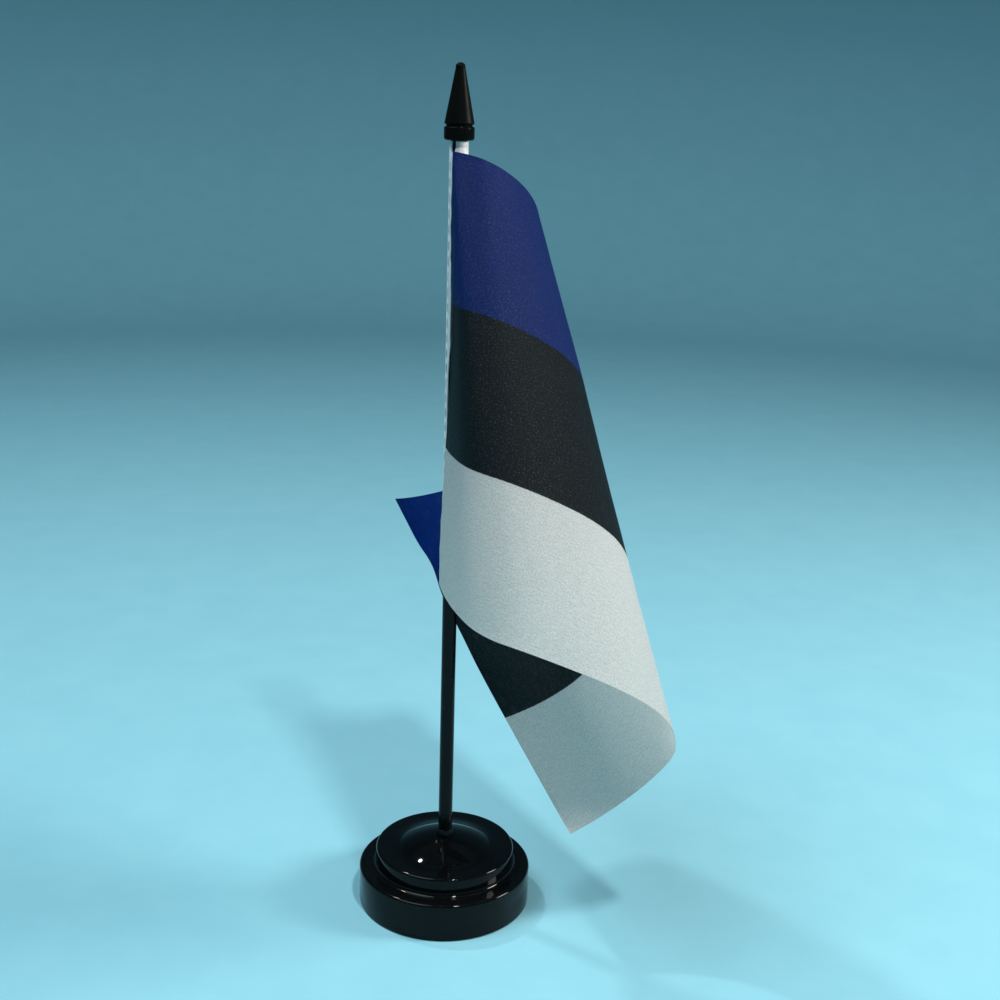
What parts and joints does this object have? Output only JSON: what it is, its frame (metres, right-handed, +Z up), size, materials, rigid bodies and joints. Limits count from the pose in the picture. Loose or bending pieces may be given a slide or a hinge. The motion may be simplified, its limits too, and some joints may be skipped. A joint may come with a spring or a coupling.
{
  "type": "desk flag stand",
  "caption": "Small table flag: a limp printed cloth on a thin pole with a cone finial, plugged into a round weighted two-tier base with a low dome.",
  "frame": {"origin": "on the pole's axis, in the plane of the foam pad's face that the stand rests on", "axes": "+Z up along the pole; +X is the side that the cloth hangs to; -Y is the front"},
  "size_m": [0.1055, 0.1383, 0.294],
  "materials": {
    "base_plastic": "high gloss black moulding",
    "pole_plastic": "gloss black extruded rod",
    "finial_plastic": "satin black moulding",
    "cover_plastic": "matte black moulding",
    "weight_iron": "raw cast iron",
    "pad_foam": "fine black foam",
    "flag_fabric": "satin printed polyester, three bands",
    "sleeve_fabric": "white polyester tape",
    "thread": "white sewing thread"
  },
  "bodies": {
    "base": {"base_shell": "base_plastic", "base_weight": "weight_iron", "base_cover": "cover_plastic", "base_pad": "pad_foam", "pole_ferrule": "pole_plastic"},
    "pole": {"pole": "pole_plastic"},
    "finial": {"finial": "finial_plastic"},
    "flag": {"flag_sleeve": "sleeve_fabric", "sleeve_stitching": "thread", "flag_cloth": "flag_fabric"}
  },
  "joints": [
    {"name": "pole_lift", "type": "slide", "parent": "base", "child": "pole", "axis": [0, 0, 1], "range_m": [0, 0.024]},
    {"name": "finial_pull", "type": "slide", "parent": "pole", "child": "finial", "axis": [0, 0, 1], "range_m": [0, 0.012]},
    {"name": "flag_swivel", "type": "hinge", "parent": "pole", "child": "flag", "pos_m": [0, 0, 0.2], "axis": [0, 0, 1], "continuous": true}
  ]
}
